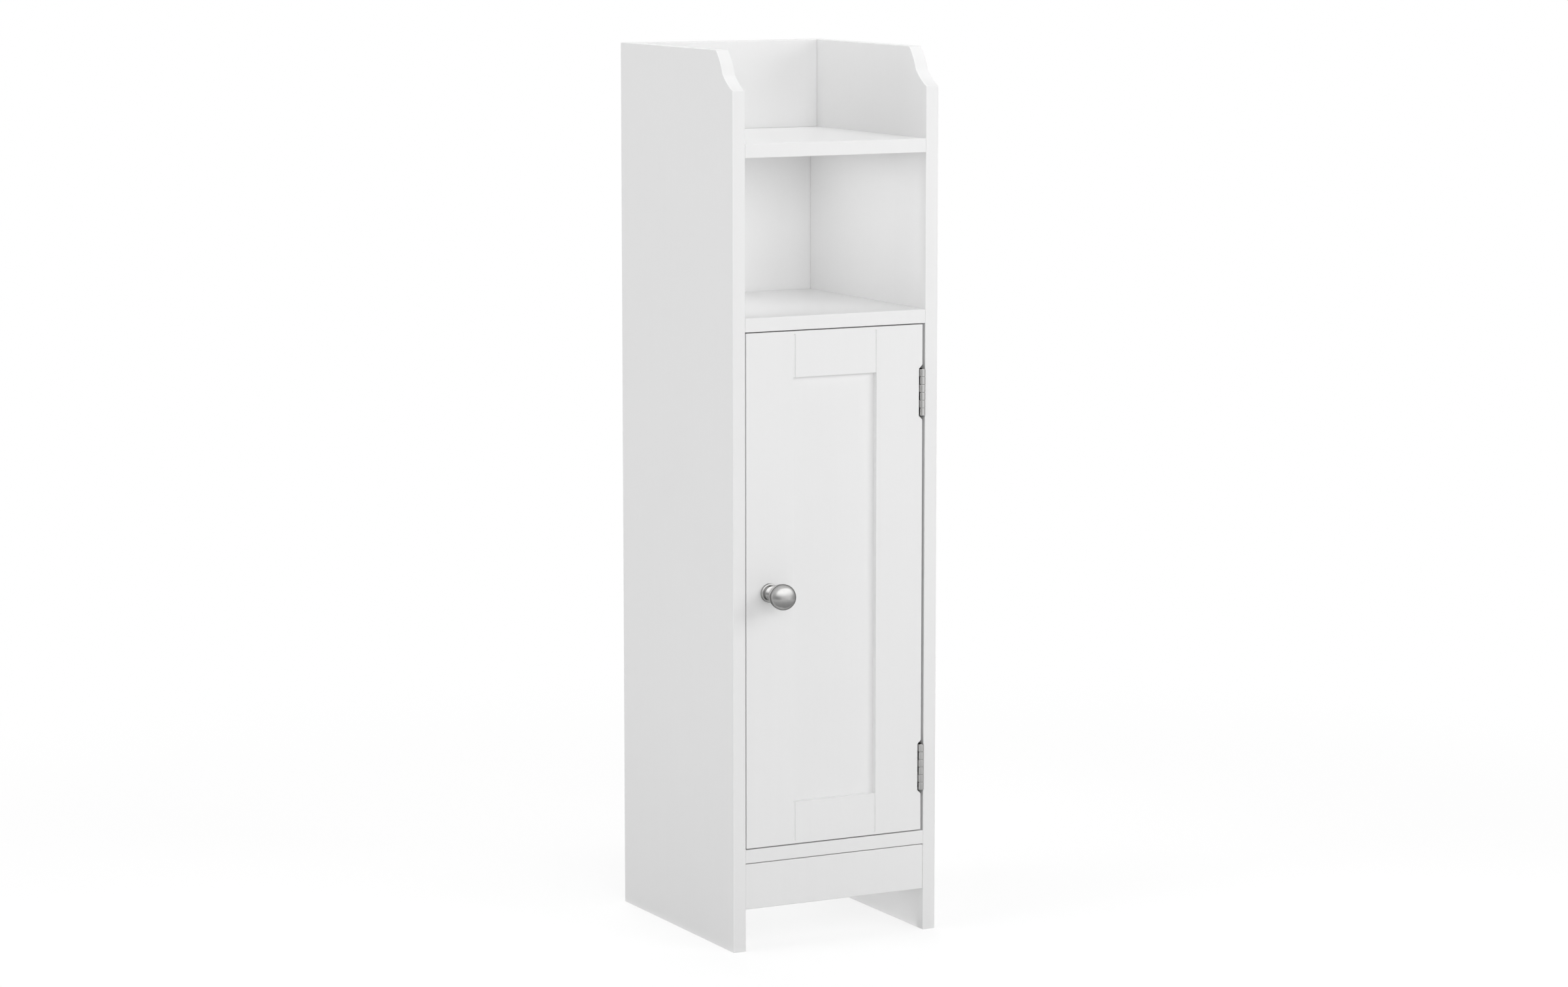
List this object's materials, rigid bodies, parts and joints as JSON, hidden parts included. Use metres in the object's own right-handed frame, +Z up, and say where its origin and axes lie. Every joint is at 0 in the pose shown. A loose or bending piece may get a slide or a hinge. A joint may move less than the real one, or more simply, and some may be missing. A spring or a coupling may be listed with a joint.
{
  "type": "bathroom cabinet",
  "caption": "Narrow white bathroom cabinet with a raised-side tray on top, an open compartment and a cupboard behind a hinged door with a round knob.",
  "frame": {"origin": "on the floor, below the middle of the whole object's depth with its knob, halfway between the side panels", "axes": "+X to the right seen from the front, +Y to the rear, +Z up"},
  "size_m": [0.2, 0.2576, 0.78],
  "materials": {
    "painted_board": "fibreboard with smooth satin white paint",
    "painted_door": "routed fibreboard with smooth satin white paint",
    "white_hardboard": "thin hardboard with a white painted face",
    "bright_nickel": "polished nickel plating",
    "satin_nickel": "satin nickel plating",
    "zinc_plated_steel": "bright zinc plating",
    "cast_zinc": "plain zinc casting",
    "beech_dowel": "bare beech",
    "white_plastic": "moulded white plastic",
    "dark_ferrite": "bare ferrite magnet"
  },
  "bodies": {
    "cabinet": {"side_panel_left": "painted_board", "side_panel_right": "painted_board", "gallery_shelf": "painted_board", "gallery_back": "painted_board", "cabinet_top": "painted_board", "cabinet_bottom": "painted_board", "toe_board": "painted_board", "adjustable_shelf": "painted_board", "back_panel": "white_hardboard", "shelf_pins": "zinc_plated_steel", "cam_locks": "cast_zinc", "cam_bolts": "zinc_plated_steel", "wood_dowels": "beech_dowel", "hinge_upper_frame_leaf": "bright_nickel", "hinge_lower_frame_leaf": "bright_nickel", "hinge_upper_pin": "bright_nickel", "hinge_lower_pin": "bright_nickel", "hinge_frame_screws": "bright_nickel", "catch_case": "white_plastic", "catch_magnet": "dark_ferrite", "catch_pole_plates": "zinc_plated_steel", "catch_screws": "zinc_plated_steel"},
    "door": {"door": "painted_door", "door_knob": "satin_nickel", "knob_screw": "zinc_plated_steel", "hinge_upper_door_leaf": "bright_nickel", "hinge_lower_door_leaf": "bright_nickel", "hinge_door_screws": "bright_nickel", "strike_plate": "zinc_plated_steel", "strike_screw": "zinc_plated_steel"}
  },
  "joints": [
    {"name": "door_hinge", "type": "hinge", "parent": "cabinet", "child": "door", "pos_m": [0.0853, -0.09175, 0.314], "axis": [0, 0, 1], "range_deg": [0, 180]}
  ]
}
